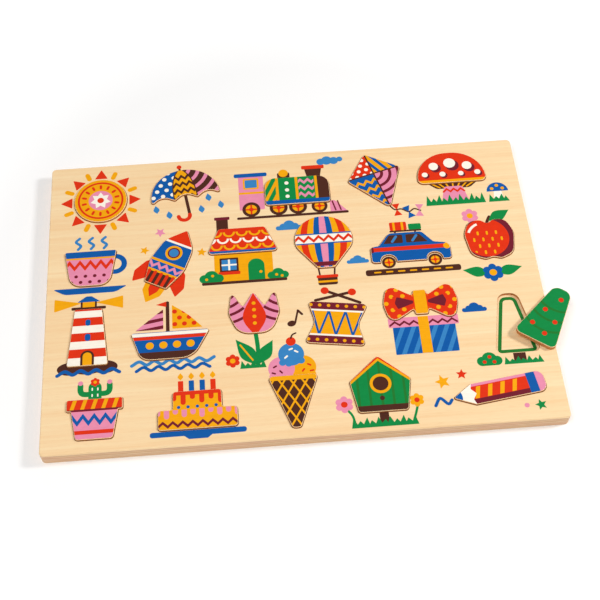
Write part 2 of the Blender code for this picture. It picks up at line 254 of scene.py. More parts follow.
def print_film(name, body, picture, spot, turn, surface, inside=(), outside=()):
    """Prints a picture as one closed film of ink. A picture is a list of inks, each with its outlines
    and perhaps the outlines that it is kept within, the later ones over the earlier ones. All are in
    millimetres about spot. The film is kept inside some outlines and outside others."""
    stack = []

    def laid(outlines):
        first = len(stack)
        stack.extend(o if area_of(o) > 0 else o[::-1] for o in outlines)
        return set(range(first, len(stack)))

    layers = [(ink, laid(shapes), laid(mask[0]) if mask else None) for ink, shapes, *mask in picture]
    kept = laid(inside)
    barred = laid(outside)
    points = [point for outline in stack for point in outline]
    ends = [0]
    for outline in stack:
        ends.append(ends[-1] + len(outline))
    faces = [list(range(a, b)) for a, b in zip(ends, ends[1:])]
    corners, _, cells, _, _, covers = delaunay_2d_cdt(points, [], faces, TRIANGLES_INSIDE, WELD)

    film = bmesh.new()
    place = Matrix.Translation(Vector((*spot, 0))) @ Matrix.Rotation(turn, 4, "Z")
    verts = [film.verts.new(place @ corner.to_3d() * MM) for corner in corners]
    inks = []
    for cell, cover in zip(cells, covers):
        cover = set(cover)
        if cover & barred or (kept and not cover & kept):
            continue
        shown = [ink for ink, own, mask in layers if cover & own and (mask is None or cover & mask)]
        if shown:
            if shown[-1] not in inks:
                inks.append(shown[-1])
            film.faces.new([verts[i] for i in cell]).material_index = inks.index(shown[-1])
    bmesh.ops.delete(film, geom=[v for v in film.verts if not v.link_faces], context="VERTS")
    bmesh.ops.translate(film, verts=film.verts, vec=(0, 0, surface - INK_SINK * MM))
    raised = bmesh.ops.extrude_face_region(film, geom=film.faces[:])["geom"]
    lifted = [v for v in raised if isinstance(v, bmesh.types.BMVert)]
    bmesh.ops.translate(film, verts=lifted, vec=(0, 0, (INK_DEPTH + INK_SINK) * MM))
    bmesh.ops.recalc_face_normals(film, faces=film.faces)
    mesh = bpy.data.meshes.new(name)
    film.to_mesh(mesh)
    film.free()
    for ink in inks:
        mesh.materials.append(ink)
    made = bpy.data.objects.new(name, mesh)
    bpy.context.scene.collection.objects.link(made)
    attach(made, body)


recesses = flat_face_outlines("frame_sheet", BOARD_TOP)
recesses.remove(max(recesses, key=lambda outline: abs(area_of(outline))))
seated_low, seated_high = (corner.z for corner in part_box("sun_piece"))
piece_birch = birch_plywood("birch_plywood_piece", PIECE_LAYERS, seated_low, seated_high)


def about(outline, spot, turn):
    """An outline on the board, as seen from a spot and a turn."""
    back = Matrix.Rotation(-turn, 2)
    return [back @ (point - spot) for point in outline]


def print_motif(name, turn, ground, on_piece, on_board, lies=None, near=None):
    """Dresses a piece and prints the two parts of its motif: the piece over its whole top, in a ground
    colour and what is on it, and the board round its recess. A piece that isn't in its recess has the
    turn in which it lies and a spot near its recess. It gives the recess, with its middle."""
    node = name + "_piece"
    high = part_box(node)[1].z
    turn = math.radians(turn)
    lies = turn if lies is None else math.radians(lies)
    top = flat_face_outlines(node, high)[0]
    levelled = about(top, Vector((0, 0)), lies)
    spot = Matrix.Rotation(lies, 2) @ middle_of(levelled)
    outline = about(top, spot, lies)
    dress(node, piece_birch)
    print_film(name + "_print", name, [(ground, [outline]), *on_piece],
               spot, lies, high, inside=[outline])
    near = Vector(near or middle_of(top))
    recess = min(recesses, key=lambda hole: (middle_of(hole) - near).length)
    levelled = about(recess, Vector((0, 0)), turn)
    home = Matrix.Rotation(turn, 2) @ middle_of(levelled)
    holes = [about(hole, home, turn) for hole in recesses]
    print_film(name + "_surround_print", "board", on_board, home, turn,
               BOARD_TOP, outside=holes)
    return about(recess, home, turn), home


def shaped(shape, x, y, turn=0.0):
    """Turns a flat mesh by degrees, moves it to its place and gives its outlines."""
    bmesh.ops.rotate(shape, verts=shape.verts, matrix=Matrix.Rotation(math.radians(turn), 3, "Z"))
    bmesh.ops.translate(shape, verts=shape.verts, vec=(x, y, 0))
    return outlines_of(shape)


def soften(shape, corner):
    """Rounds the corners of a flat mesh."""
    if corner:
        bmesh.ops.bevel(
            shape, geom=shape.verts[:], offset=corner, offset_type="OFFSET", segments=4, profile=0.5,
            affect="VERTICES", clamp_overlap=True, material=-1)


def disc(x, y, radius, tall=None, turn=0.0):
    """A round dot, or an oval with its own half height."""
    shape = bmesh.new()
    bmesh.ops.create_circle(shape, cap_ends=True, segments=round(8 + 8 * radius ** 0.5), radius=radius)
    bmesh.ops.scale(shape, vec=(1, (tall or radius) / radius, 1), verts=shape.verts)
    return shaped(shape, x, y, turn)


def ring(x, y, radius, width, start=0.0, sweep=360.0):
    """A ring or an arc of ink, made as a short line swung round a centre."""
    shape = bmesh.new()
    ends = [shape.verts.new((radius + side * width / 2, 0, 0)) for side in (-1, 1)]
    spoke = shape.edges.new(ends)
    steps = max(5, round((10 + 7 * radius ** 0.5) * abs(sweep) / 360))
    bmesh.ops.spin(shape, geom=[spoke, *ends], cent=(0, 0, 0), axis=(0, 0, 1),
                   angle=math.radians(sweep), steps=steps, use_merge=abs(sweep) >= 360)
    return shaped(shape, x, y, start)


def patch(points, corner=0.0):
    """A flat shape through a few points, its corners rounded."""
    shape = bmesh.new()
    shape.faces.new([shape.verts.new((x, y, 0)) for x, y in points])
    soften(shape, corner)
    return outlines_of(shape)


def line(points, width, ends=True):
    """A line of ink with round ends along a run of points: a strip one cell wide, bent along them."""
    path = [Vector(point) for point in points]
    legs = [(b - a).normalized() for a, b in zip(path, path[1:])]
    before = [legs[0], *legs]
    after = [*legs, legs[-1]]
    shape = bmesh.new()
    bmesh.ops.create_grid(shape, x_segments=len(legs), y_segments=1, size=0.5)
    for vert in shape.verts:
        station = round((vert.co.x + 0.5) * len(legs))
        heading = (before[station] + after[station]).normalized()
        across = Vector((-heading.y, heading.x)) * width / max(0.4, heading.dot(after[station]))
        vert.co.xy = path[station] + across * vert.co.y
    caps = disc(*path[0], width / 2) + disc(*path[-1], width / 2) if ends else []
    return outlines_of(shape) + caps


def curve(points, steps=6):
    """A smooth run of points through a few given ones."""
    knots = [Vector(point) for point in points]
    knots = [2 * knots[0] - knots[1], *knots, 2 * knots[-1] - knots[-2]]
    run = []
    for a, b, c, d in zip(knots, knots[1:], knots[2:], knots[3:]):
        for k in range(steps):
            t = k / steps
            bend = 2 * a - 5 * b + 4 * c - d + t * (3 * b - a - 3 * c + d)
            run.append(b + t / 2 * (c - a + t * bend))
    return [*run, knots[-2]]


def at(shape, x, y, turn=0.0, size=1.0):
    """A shape turned by degrees, scaled and moved."""
    spin = Matrix.Rotation(math.radians(turn), 2) * size
    return [[spin @ point + Vector((x, y)) for point in outline] for outline in shape]


def around(shape, count, first=0.0):
    """Copies of a shape set evenly round the middle."""
    return [outline for k in range(count) for outline in at(shape, 0, 0, first + 360 * k / count)]


def leaf(length, width):
    """A leaf or petal that stands on its foot at the middle."""
    side = curve([(0, 0), (width / 2, length * 0.45), (0, length)])
    return patch(side + [Vector((-x, y)) for x, y in side[-2:0:-1]])


RED = screen_ink("red_screen_ink", "#e13008")
YELLOW = screen_ink("yellow_screen_ink", "#f6a801")
PINK = screen_ink("pink_screen_ink", "#eb8eac")
CREAM = screen_ink("cream_screen_ink", "#fff6e6")

sun_face = [
    (RED, ring(0, 0, 20.8, 1.9)),
    (RED, around(line([(0, 14.6), (0, 17.2)], 2.4), 14)),
    (PINK, disc(0, 0, 11.4)),
    (CREAM, around(leaf(9.8, 5.6), 7)),
    (RED, disc(0, 0, 3.2)),
]
sun_rays = [
    (RED, around(patch([(-6.2, 27.2), (6.2, 27.2), (0, 38.2)], 0.8), 8)),
    (YELLOW, around(line([(0, 30.0), (0, 35.0)], 4.6), 8, 22.5)),
]
print_motif("sun", 0, YELLOW, sun_face, sun_rays)

# The umbrella, next to the sun and tilted: the piece is its cloth, in three gores between the ribs, and
# the shaft, the crook and the rain are on the board.
BLUE = screen_ink("blue_screen_ink", "#0056a2")
SKY = screen_ink("light_blue_screen_ink", "#3682bf")
BROWN = screen_ink("brown_screen_ink", "#461f10")


def mirrored(shape):
    """A shape with left and right changed over."""
    return [[Vector((-point.x, point.y)) for point in outline] for outline in shape]


def staggered(x, y, width, height, across, up):
    """Points in staggered rows that fill a box about (x, y)."""
    spots = []
    for row in range(int(height / up) + 1):
        shift = across / 2 * (row % 2)
        for column in range(int((width - shift) / across) + 1):
            spots.append((x - width / 2 + shift + column * across, y - height / 2 + row * up))
    return spots


def scatter(shape, spots):
    """Copies of a shape at several spots, each with an x, a y and perhaps a turn."""
    return [outline for spot in spots for outline in at(shape, *spot)]


def zigzag(start, stop, y, rise, pitch):
    """A run of points that goes up and down."""
    count = round((stop - start) / pitch * 2)
    return [(start + (stop - start) * k / count, y + rise * (k % 2 - 0.5)) for k in range(count + 1)]


gore = curve([(0, 20), (6.8, 10), (10.4, -3), (11.4, -20)])
right_gore = patch([*gore, (36, -20), (36, 20)])
middle_gore = patch([*gore, *(Vector((-x, y)) for x, y in gore[:0:-1])])
umbrella_cloth = [
    (BROWN, right_gore),
    (PINK, [o for r in range(9, 46, 9) for o in ring(0, 19, r, 3.6, -95, 100)], right_gore),
    (CREAM, scatter(disc(0, 0, 2.1), staggered(-21, 0, 28, 34, 9.2, 6.6)), mirrored(right_gore)),
    (YELLOW, middle_gore),
    (BROWN, [o for y in range(-16, 16, 8) for o in line(zigzag(-16, 16, y, 3.8, 6.4), 2.3)], middle_gore),
    (BROWN, line(gore, 1.1) + mirrored(line(gore, 1.1))),
]
umbrella_stick = [
    (BROWN, line([(0, 16), (0, 21)], 2.2) + line([(0, -8), (0, -36)], 3.0)),
    (RED, ring(-5.4, -36, 5.4, 3.8, -180, 180) + disc(-10.8, -36, 1.9) + disc(0, -36, 1.9)),
    (RED, disc(0, 22.4, 2.4)),
    (SKY, scatter(leaf(9.6, 5.8), [(-30, -28), (-19, -37), (12, -37), (21, -25), (31, -36)])),
]
print_motif("umbrella", 9, BLUE, umbrella_cloth, umbrella_stick)

# The engine, at the middle of the far side: the piece is its boiler, and the cab, the funnel, the wheels
# and the rail that they stand on are on the board.
GREEN = screen_ink("green_screen_ink", "#00843e")
WINE = screen_ink("wine_screen_ink", "#6e1526")


def block(x, y, width, height, corner=0.0):
    """A rectangle with rounded corners."""
    shape = bmesh.new()
    bmesh.ops.create_grid(shape, x_segments=1, y_segments=1, size=0.5)
    bmesh.ops.scale(shape, vec=(width, height, 1), verts=shape.verts)
    soften(shape, corner)
    return shaped(shape, x, y)


def wheel(x, y, radius):
    """A spoked wheel: tyre, disc, four spokes and hub."""
    spoke = line([(0, radius * 0.2), (0, radius * 0.64)], radius * 0.18, ends=False)
    return [
        (BROWN, disc(x, y, radius)),
        (YELLOW, disc(x, y, radius * 0.64)),
        (RED, at(around(spoke, 4), x, y)),
        (RED, disc(x, y, radius * 0.26)),
    ]


engine_boiler = [
    (YELLOW, [o for x in range(-38, -14, 8) for o in line([(x - 4, -18), (x + 14, 18)], 3.0)],
     block(-26, 0, 12, 40)),
    (CREAM, scatter(disc(0, 0, 2.0), [(-9.6, 9), (-9.6, 0.6), (-9.6, -7)])),
    (PINK, [o for y in range(-6, 18, 8) for o in line(zigzag(0, 18, y, 3.8, 7.5), 2.4)],
     block(9, 0, 15, 40)),
    (BROWN, block(26, 0, 13, 40)),
    (YELLOW, block(-19.0, 0, 2.6, 40) + block(-0.2, 0, 2.6, 40) + block(18.6, 0, 2.6, 40)),
    (BLUE, block(0, -14, 70, 5.6)),
]
engine_cab = [
    (PINK, block(-44, 1, 24, 40, 1.0)),
    (BLUE, block(-44, 22.6, 32, 4.6, 1.6)),
    (YELLOW, block(-44, 12, 15, 13, 1.2)),
    (SKY, block(-44, 12, 11.6, 9.6, 0.8)),
    (YELLOW, block(-44, 1, 24, 2.4)),
    (BROWN, block(-12, 19.5, 12, 7, 1.5)),
    (YELLOW, disc(-12, 22.4, 4.6)),
    (BROWN, patch([(11, 14), (23, 14), (25.6, 27), (8.4, 27)], 0.6)),
    (RED, block(17, 27.6, 22, 4.4, 1.2)),
    (SKY, disc(25.4, 33.4, 4.0) + disc(31.4, 34.6, 5.2) + disc(38.2, 34.0, 4.4) + disc(44.0, 35.4, 3.0)),
    (PINK, patch([(30, -14), (35, -14), (46, -27), (30, -27)], 0.8)),
    (WINE, [o for x in (34, 39) for o in line([(x - 1.5, -15), (x + 1, -25.6)], 1.5)]),
    *wheel(-45, -18.6, 8.6),
    *wheel(-19, -18.6, 8.6),
    *wheel(-0.5, -18.6, 8.6),
    *wheel(20, -19.6, 7.6),
    (BROWN, block(-6, -28.3, 106, 2.8, 1.2)),
]
print_motif("engine", 0, GREEN, engine_boiler, engine_cab)

# The kite, at the far side: the piece is the kite in four quarters between its spars, and the tail with
# its bows blows about on the board.
kite_cross = 8.2
upper_left = block(-25, kite_cross + 25, 50, 50)
upper_right = block(25, kite_cross + 25, 50, 50)
lower_left = block(-25, kite_cross - 25, 50, 50)
lower_right = block(25, kite_cross - 25, 50, 50)
kite_cloth = [
    (RED, upper_left),
    (CREAM, scatter(disc(0, 0, 1.9), staggered(-12, 21, 24, 24, 7.6, 6.0)), upper_left),
    (YELLOW, upper_right),
    (BLUE, [o for x in range(-24, 40, 8) for o in line([(x, 40), (x + 18, 0)], 3.2)], upper_right),
    (BLUE, lower_left),
    (YELLOW, [o for y in range(-36, 8, 9) for o in line(zigzag(-30, 2, y, 4.0, 8), 2.3)], lower_left),
    (WINE, [o for r in range(8, 44, 8) for o in ring(0, kite_cross, r, 3.0, -92, 94)], lower_right),
    (BROWN, line([(0, 36), (0, -36)], 1.5) + line([(-30, kite_cross), (30, kite_cross)], 1.5)),
]
tail = curve([(0, -31), (3, -38), (9, -39.5), (14.5, -45), (20.5, -43.5), (25.5, -47.5)])
half_bow = patch([(0, 0), (6.8, 4.0), (6.8, -4.0)], 0.5)
tail_bow = half_bow + mirrored(half_bow)
kite_tail = [
    (BROWN, line(tail, 1.5)),
    (RED, at(tail_bow, *tail[8], 80)),
    (BLUE, at(tail_bow, *tail[18], 95)),
    (PINK, at(tail_bow, *tail[29], 70)),
]
print_motif("kite", 16, PINK, kite_cloth, kite_tail)

# The mushroom, in the far right corner: the piece is its spotted cap, and the stalk, the gills, the
# grass and a small blue mushroom are on the board.


def grass(x, y, count, pitch, height):
    """A strip of grass: pointed blades, taller and shorter by turns, joined at the foot."""
    tops = []
    for k in range(count):
        tip = x + (k + 0.14 * ((k % 3) - 1)) * pitch
        tops += [(tip, y + height * (1 - 0.3 * (k % 2))), (x + (k + 0.5) * pitch, y + height * 0.36)]
    return patch([(x - pitch / 2, y), *tops[:-1], (x + (count - 0.5) * pitch, y)])


cap_spots = [(0, 5.0, 0, 5.8), (-16, 2, 0, 4.6), (16.5, 1, 0, 4.8), (-25.6, -7.6, 0, 2.9),
             (25.6, -7.8, 0, 3.0), (-8.4, -8.0, 0, 3.0), (9.4, -8.2, 0, 2.7)]
mushroom_cap = [
    (WINE, scatter(disc(0.4, -0.5, 1.14), cap_spots)),
    (CREAM, scatter(disc(0, 0, 1.0), cap_spots)),
    (YELLOW, block(0, -16.2, 80, 3.0)),
]
mushroom_stalk = [
    (BROWN, patch([(-27, -15), (27, -15), (16, -24.4), (-16, -24.4)], 2.0)),
    (YELLOW, [o for x in range(-18, 20, 6) for o in line([(x * 1.2, -17), (x * 0.72, -23.0)], 1.5)]),
    (PINK, patch([(-9, -22), (9, -22), (13.4, -42), (-13.4, -42)], 3.0)),
    (RED, line(zigzag(-10, 10, -26.6, 3.2, 6.6), 2.0)),
    (GREEN, grass(-26, -43.6, 11, 5.2, 12)),
    (CREAM, patch([(38.0, -30), (45.0, -30), (46.4, -42), (36.6, -42)], 1.2)),
    (BLUE, ring(41.5, -31.4, 5.2, 10.4, 0, 180)),
    (YELLOW, scatter(disc(0, 0, 1.7), [(36.4, -28.2), (41.5, -24.6), (46.6, -28.2)])),
    (GREEN, grass(34, -43.6, 4, 5.0, 9)),
]
print_motif("mushroom", 0, RED, mushroom_cap, mushroom_stalk)

# The cup, at the left side: the piece is its bowl, and the handle, the saucer and the steam are on the
# board.
cup_bowl = [
    (BLUE, block(0, 15.5, 60, 8)),
    (YELLOW, block(0, 10.9, 60, 1.8)),
    (RED, line(zigzag(-24, 24, 3.4, 7.0, 9.6), 2.8)),
    (WINE, scatter(disc(0, 0, 1.7), staggered(0, -11.0, 34, 8, 8.5, 6.4))),
]
steam = line(curve([(0, 0), (2.4, 4), (-2.0, 8.5), (1.2, 12.4)]), 2.7)
cup_set = [
    (BLUE, ring(22.4, 4.0, 8.6, 5.0, -100, 205)),
    (BLUE, patch([(-34, -20.2), (34, -20.2), (23, -26.6), (-23, -26.6)], 2.6)),
    (SKY, scatter(steam, [(-12, 22.6), (0, 22.6), (12, 22.6)])),
]
print_motif("cup", 0, PINK, cup_bowl, cup_set)

# The rocket, tilted to the right: the piece is its hull, and the fins, the flame and the stars are on
# the board.
STAR_POINTS = 5
STAR_WAIST = 0.46


def star(radius):
    """A star with its middle at the middle."""
    tips = []
    for k in range(2 * STAR_POINTS):
        reach = radius * (1 if k % 2 == 0 else STAR_WAIST)
        tips.append(Matrix.Rotation(math.pi * k / STAR_POINTS, 2) @ Vector((0, reach)))
    return patch(tips, 0.25)


rocket_hull = [
    (RED, block(0, 27, 40, 20)),
    (CREAM, block(0, 16.2, 40, 2.2)),
    (YELLOW, disc(0, 5.4, 8.0)),
    (WINE, disc(0, 5.4, 5.8)),
    (SKY, disc(0, 5.4, 4.4)),
    (YELLOW, block(0, -7.0, 40, 2.6)),
    (PINK, line(zigzag(-20, 20, -12.6, 4.6, 8), 2.4)),
    (BROWN, block(0, -28.4, 40, 20)),
    (YELLOW, block(0, -18.4, 40, 2.6)),
    (RED, [o for x in range(-12, 16, 6) for o in line([(x, -20), (x, -36)], 3.0)]),
]
fin = patch([(9, -4), (20, -11), (25.5, -25), (22, -36.5), (9, -25)], 1.6)
rocket_fire = [
    (YELLOW, patch([(-10, -31), (10, -31), (9, -41), (0, -52), (-9, -41)], 1.2)),
    (RED, patch([(-5.4, -31), (5.4, -31), (4.4, -38), (0, -45), (-4.4, -38)], 0.8)),
    (RED, fin + mirrored(fin)),
    (YELLOW, at(star(5.0), 22.6, 17.4, 20) + at(star(4.8), -27, -2, 5)),
    (PINK, at(star(5.4), -23, 22, -10)),
]
print_motif("rocket", -28, BLUE, rocket_hull, rocket_fire)

# The house, left of the middle: the piece is its tiled roof, and the walls, the chimney and the bushes
# are on the board.


def bush(x, y, size):
    """Three round clumps of leaves that stand on a line."""
    return disc(x - size, y + size * 0.7, size * 0.7) + disc(x, y + size, size) + disc(
        x + size, y + size * 0.7, size * 0.7) + block(x, y + size * 0.35, size * 2.2, size * 0.7)


roof_tiles = [
    *((ink, [o for x in range(-36 + shift, 42, 12) for o in ring(x, y, 4.8, 2.0, 180, 180)])
      for y, shift, ink in ((9.8, 0, YELLOW), (2.4, 6, CREAM), (-5.0, 0, YELLOW))),
    (BLUE, block(0, -12.9, 70, 3.4)),
]
house_front = [
    (BROWN, block(-18, 19, 11, 16, 0.6)),
    (WINE, block(-18, 27.0, 14.5, 3.4, 0.8)),
    (YELLOW, block(0, -29, 54, 31, 0.4)),
    (BROWN, block(-13.4, -26, 17.4, 15.4, 0.8)),
    (SKY, block(-13.4, -26, 13.6, 11.6, 0.4)),
    (CREAM, block(-13.4, -26, 1.8, 12) + block(-13.4, -26, 14, 1.8)),
    (RED, block(-13.4, -35.0, 20, 3.4, 0.8)),
    (GREEN, disc(11.5, -28.4, 7.6) + block(11.5, -37.0, 15.2, 16.4)),
    (YELLOW, disc(15.4, -35.6, 1.5)),
    (GREEN, bush(-30, -44.6, 6.6) + bush(31, -44.6, 5.8)),
    (YELLOW, scatter(disc(0, 0, 1.4), [(-34.6, -40.6), (-29, -37), (29.6, -40), (34.6, -41.6)])),
    (BROWN, block(0, -45.4, 78, 3.0, 1.2)),
]
print_motif("roof", 0, RED, roof_tiles, house_front)

# The balloon, at the middle: the piece is its envelope in upright gores, and the basket, its ropes and
# two clouds are on the board.


def cloud(x, y, size):
    """A cloud with a flat foot."""
    return bush(x, y, size) + disc(x - size * 1.9, y + size * 0.45, size * 0.45) + disc(
        x + size * 1.9, y + size * 0.45, size * 0.45) + block(x, y + size * 0.3, size * 3.8, size * 0.6)


balloon_gores = [
    (RED, disc(0, 2, 21.6, 36)),
    (YELLOW, disc(0, 2, 15.2, 37)),
    (BLUE, disc(0, 2, 9.2, 38)),
    (PINK, disc(0, 2, 3.4, 39)),
    (CREAM, block(0, 3.4, 60, 9.6)),
    (BLUE, block(0, 8.8, 60, 1.4) + block(0, -2.0, 60, 1.4)),
    (RED, line(zigzag(-28, 28, 3.4, 5.0, 9.3), 2.5)),
    (WINE, block(0, -25, 30, 4.6)),
]
balloon_basket = [
    (BROWN, line([(-7.6, -28), (-6.4, -39)], 1.6) + line([(7.6, -28), (6.4, -39)], 1.6)),
    (BROWN, block(0, -42.2, 18, 10.0, 2.0)),
    (YELLOW, block(0, -43.4, 18, 2.2)),
    (RED, block(0, -37.8, 20, 3.2, 1.2)),
    (SKY, cloud(-31, 17, 5.4) + cloud(29.4, -26, 4.4)),
]
print_motif("balloon", 0, YELLOW, balloon_gores, balloon_basket)

# The car, right of the middle: the piece is its body with two wheel arches, and the wheels, the luggage
# and the road are on the board.
car_body = [
    (BROWN, patch([(-24.6, 4), (-18.4, 13.4), (-6, 13.4), (-6, 4)], 1.2)
     + patch([(-3, 4), (-3, 13.4), (9.6, 13.4), (17.2, 4)], 1.2)),
    (SKY, line([(-16, 6), (-12, 11.6)], 2.4) + line([(3, 6), (7, 11.6)], 2.4)),
    (RED, block(0, -2.0, 80, 4.4)),
    (YELLOW, disc(34, -2.2, 3.4)),
    (WINE, block(-36, -2, 3.4, 6.6, 0.8)),
]
car_road = [
    *wheel(-21.5, -15.6, 6.4),
    *wheel(21.5, -15.6, 6.4),
    (BROWN, block(-2, 18.8, 30, 1.9, 0.8) + block(-12, 17.2, 1.9, 3) + block(7, 17.2, 1.9, 3)),
    (RED, block(-8.4, 24.4, 16, 9.4, 1.4)),
    (YELLOW, block(-12.4, 24.4, 2.2, 9.6) + block(-4.4, 24.4, 2.2, 9.6)),
    (GREEN, block(7.2, 23.0, 12, 6.6, 1.2)),
    (BROWN, block(0, -25.8, 88, 6.6, 2.2)),
    (YELLOW, scatter(line([(-2.6, 0), (2.6, 0)], 1.6), [(x, -25.8) for x in range(-33, 36, 11)])),
]
print_motif("car", 0, BLUE, car_body, car_road)

# The apple, at the right side: the piece is the fruit, shaded on its right, and the stalk, the leaf, a
# pink blossom, and a blue one between two leaves below are on the board.


def flower(x, y, size, petals, heart):
    """A round flower of six petals."""
    return [
        (petals, at(around(disc(0, size * 0.62, size * 0.38), 6), x, y)),
        (heart, disc(x, y, size * 0.36)),
    ]


apple_skin = [
    (RED, disc(-3.4, 1.4, 21.4)),
    (YELLOW, scatter(line([(0, -1.2), (0, 1.2)], 2.0), staggered(-2, -4, 26, 22, 8.6, 7.2)),
     disc(-3.4, 1.4, 20)),
    (CREAM, ring(-4, 2, 16.2, 2.4, 112, 46)),
]
apple_stalk = [
    (BROWN, line(curve([(0, 15), (0.4, 20), (3.4, 26)]), 3.0)),
    (GREEN, at(leaf(24, 12), 2.0, 21.4, -62)),
    *flower(-14.5, 28.5, 8.2, PINK, YELLOW),
    (GREEN, at(leaf(25, 11), 0, -37, -78) + at(leaf(25, 11), -6, -37, 78)),
    *flower(-3, -36.5, 9.6, BLUE, YELLOW),
]
print_motif("apple", 0, WINE, apple_skin, apple_stalk)

# The lighthouse, at the left side: the piece is its banded tower, and the lantern with its beams, the
# rocks and the waves are on the board.
WAVE_RISE = 3.6
WAVE_LENGTH = 13


def waves(left, right, y, ink_width):
    """A row of small waves, as one running line."""
    return line(curve(zigzag(left, right, y, WAVE_RISE, WAVE_LENGTH)), ink_width)


lighthouse_tower = [
    (CREAM, block(0, 23.4, 50, 7.0) + block(0, 7.8, 50, 7.6)
     + block(0, -8.4, 50, 7.8) + block(0, -24.8, 50, 7.6)),
    (BLUE, block(0, 14.6, 4.6, 6.4, 2.0) + block(0, -0.6, 5.0, 7.4, 2.2)),
    (BROWN, disc(0, -20, 6.0) + block(0, -26, 12.0, 12)),
    (YELLOW, disc(0, -20, 4.0) + block(0, -26, 8.0, 12)),
]
beam = patch([(6, 36.4), (31, 42.0), (31, 28.6)], 1.0)
lighthouse_shore = [
    (YELLOW, beam + mirrored(beam)),
    (BROWN, block(0, 30.8, 31, 3.0, 1.0)),
    (YELLOW, block(0, 34.8, 13, 5.8)),
    (BROWN, block(-6.4, 34.8, 1.8, 6) + block(6.4, 34.8, 1.8, 6)),
    (BLUE, patch([(-10.4, 37.4), (10.4, 37.4), (2.4, 43.4), (-2.4, 43.4)], 0.8)),
    (BROWN, disc(-15, -30.6, 11.5, 6.4) + disc(15, -30.6, 11.5, 6.4) + disc(0, -32, 13, 5.0)),
    (BLUE, waves(-26, 28, -34.8, 3.3)),
]
print_motif("lighthouse", 0, RED, lighthouse_tower, lighthouse_shore)

# The boat, left of the middle: the piece is its hull, and the mast, the sails and the waves are on the
# board.
boat_hull = [
    (CREAM, block(0, 11.4, 80, 3.4)),
    (RED, block(0, 7.8, 80, 3.4)),
    (BROWN, block(0, -10.4, 80, 7.6)),
    (YELLOW, scatter(disc(0, 0, 3.6), [(-18, 0), (-6, 0), (6, 0), (18, 0)])),
]
main_sail = patch([*curve([(2, 42), (16, 31), (29, 17)]), (2, 17)], 0.8)
fore_sail = patch([(-6, 38), *curve([(-6, 38), (-18, 28), (-31, 17)])[1:], (-6, 17)], 0.8)
boat_rig = [
    (YELLOW, main_sail),
    (RED, scatter(disc(0, 0, 2.2), staggered(13, 28, 26, 26, 8.6, 6.6)), main_sail),
    (PINK, fore_sail),
    (WINE, [o for y in range(20, 40, 8) for o in line([(-34, y - 5), (-4, y)], 3.4)], fore_sail),
    (BROWN, line([(-2, 12), (-2, 44.6)], 3.2)),
    (RED, patch([(-3, 46), (-3, 40.2), (-12.4, 43.1)], 0.4)),
    (SKY, waves(-34, 38, -16.2, 3.2)),
    (BLUE, waves(-30, 34, -22.0, 3.0)),
]
print_motif("boat", 0, BLUE, boat_hull, boat_rig)

# The tulip, left of the middle: the piece is its head of three petals, and the stem, the leaves, the
# grass and one small flower are on the board.
side_petal = patch([(4, -24), *curve([(6, -6), (8, 4), (12, 10), (19, 24)]), (30, 24), (30, -24)])
petal_stripes = [o for r in range(8, 44, 8) for o in ring(30, 30, r, 2.8, 175, 100)]
tulip_head = [
    (WINE, petal_stripes, side_petal),
    (WINE, mirrored(petal_stripes), mirrored(side_petal)),
    (RED, at(leaf(46, 21), 0, -25)),
    (YELLOW, scatter(disc(0, 0, 1.8), [(0, 10), (0, 3), (0, -4), (0, -11)])),
]
tulip_leaf = at(leaf(33, 14), 0.4, -53, 34)
small_leaf = at(leaf(27, 12), 1.2, -52, -30)
tulip_stem = [
    (GREEN, line(curve([(0, -19), (1.2, -36), (0.4, -53)]), 3.8)),
    (GREEN, tulip_leaf + small_leaf),
    (YELLOW, line([(-3.8, -47.6), (-14.2, -31.6)], 1.5)),
    *flower(-21.5, -47.0, 6.6, RED, YELLOW),
    (GREEN, grass(-13, -55.4, 5, 4.6, 8)),
]
print_motif("tulip", 0, PINK, tulip_head, tulip_stem)

# The drum, at the middle and tilted: the piece is its laced shell between two hoops, and the sticks and
# a music note are on the board.
drum_shell = [
    (BLUE, line(zigzag(-30, 30, 0, 25, 15), 2.8)),
    (WINE, block(0, 17.6, 70, 8.4) + block(0, -17.6, 70, 8.4)),
    (CREAM, block(0, 12.7, 70, 1.8) + block(0, -12.7, 70, 1.8)),
    (YELLOW, scatter(disc(0, 0, 1.6), [(x, y) for y in (17.8, -17.8) for x in range(-24, 28, 8)])),
]
drum_sticks = [
    (BROWN, line([(-20, 23.6), (11, 34.0)], 2.9) + line([(20, 23.6), (-11, 34.0)], 2.9)),
    (RED, disc(12.4, 34.4, 3.7) + disc(-12.4, 34.4, 3.7)),
    (BROWN, disc(-40.0, -2, 3.9, 3.0, 20) + line([(-36.9, -1.2), (-35.4, 12)], 1.8)
     + line([(-35.4, 12), (-31.4, 8.4)], 2.2)),
]
print_motif("drum", -8, YELLOW, drum_shell, drum_sticks)

# The gift, right of the middle: the piece is its bow of ribbon, and the box, its lid and the ribbon
# round them are on the board.
fold = patch([(3, 0), (21, 6.4), (23.4, 0), (21, -6.4)], 1.0)
gift_bow = [
    (YELLOW, scatter(disc(0, 0, 2.1), staggered(0, 0, 62, 28, 10.3, 7.0))),
    (RED, at(fold, 0, 0, 0, 1.16) + mirrored(at(fold, 0, 0, 0, 1.16))),
    (WINE, fold + mirrored(fold)),
    (RED, block(0, 0, 13.4, 44)),
    (YELLOW, block(0, 0, 11.0, 44)),
]
gift_front = block(0, -37.0, 56, 30, 0.8)
gift_box = [
    (BLUE, gift_front),
    (SKY, [o for x in range(-45, 50, 10) for o in line([(x - 8, -56), (x + 8, -20)], 3.8)], gift_front),
    (YELLOW, block(0, -36, 9.4, 31.8)),
    (PINK, block(0, -19.4, 63, 10.0, 1.0)),
    (WINE, line(zigzag(-30, 30, -20.4, 3.4, 8.6), 1.9)),
    (YELLOW, block(0, -19.4, 9.4, 10.0)),
]
print_motif("bow", 0, RED, gift_bow, gift_box)

